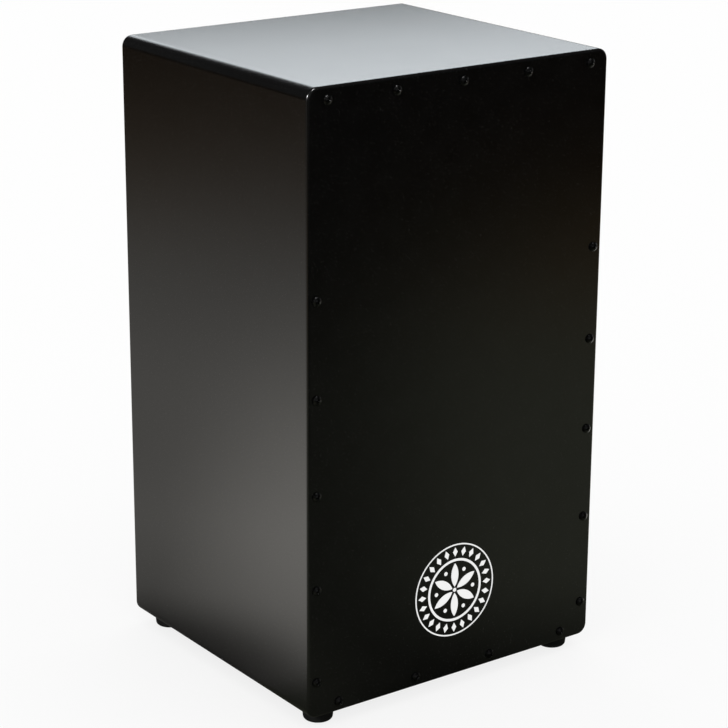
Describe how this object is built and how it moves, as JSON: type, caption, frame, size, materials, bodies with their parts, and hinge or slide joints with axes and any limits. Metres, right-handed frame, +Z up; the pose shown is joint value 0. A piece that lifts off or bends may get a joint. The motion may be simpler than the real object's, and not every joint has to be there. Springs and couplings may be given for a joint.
{
  "type": "cajon",
  "caption": "Upright black box drum on rubber feet: a thin screwed front plate to strike, a sound hole at the back and sprung snare wires inside.",
  "frame": {"origin": "on the floor, at the centre of the footprint", "axes": "+Z up, the front playing plate faces -Y, +X on the right of somebody who looks at that plate"},
  "size_m": [0.257, 0.2378, 0.457],
  "materials": {
    "satin_black_paint": "satin",
    "raw_wood": "matte",
    "rubber": "matte",
    "black_screws": "satin",
    "plated_steel": "satin",
    "snare_steel": "satin",
    "white_film": "satin"
  },
  "bodies": {
    "box": {"side_panel_left": "satin_black_paint", "side_panel_right": "satin_black_paint", "seat_panel": "satin_black_paint", "base_panel": "satin_black_paint", "back_panel": "satin_black_paint", "front_playing_plate": "satin_black_paint", "corner_batten_bottom_left": "raw_wood", "corner_batten_bottom_right": "raw_wood", "corner_batten_top_left": "raw_wood", "corner_batten_top_right": "raw_wood", "snare_rail": "raw_wood", "rail_cleat_left": "raw_wood", "rail_cleat_right": "raw_wood", "foot_front_left": "rubber", "foot_front_right": "rubber", "foot_rear_left": "rubber", "foot_rear_right": "rubber", "front_plate_screws": "black_screws", "back_panel_screws": "black_screws", "rail_screws": "plated_steel", "foot_screws": "plated_steel", "foot_washers": "plated_steel", "snare_clamp_screws": "plated_steel", "snare_clamp_left": "snare_steel", "snare_clamp_right": "snare_steel", "front_badge": "white_film"},
    "snares_left": {"snare_strands_left": "snare_steel"},
    "snares_right": {"snare_strands_right": "snare_steel"}
  },
  "joints": [
    {"name": "snare_flex_left", "type": "hinge", "parent": "box", "child": "snares_left", "pos_m": [-0.05707, -0.09677, 0.31373], "axis": [-0.9659, 0, -0.2588], "range_deg": [0, 3], "stiffness_Nm_per_rad": 0.8, "springref_deg": -1.72},
    {"name": "snare_flex_right", "type": "hinge", "parent": "box", "child": "snares_right", "pos_m": [0.05707, -0.09677, 0.31373], "axis": [-0.9659, 0, 0.2588], "range_deg": [0, 3], "stiffness_Nm_per_rad": 0.8, "springref_deg": -1.72}
  ]
}
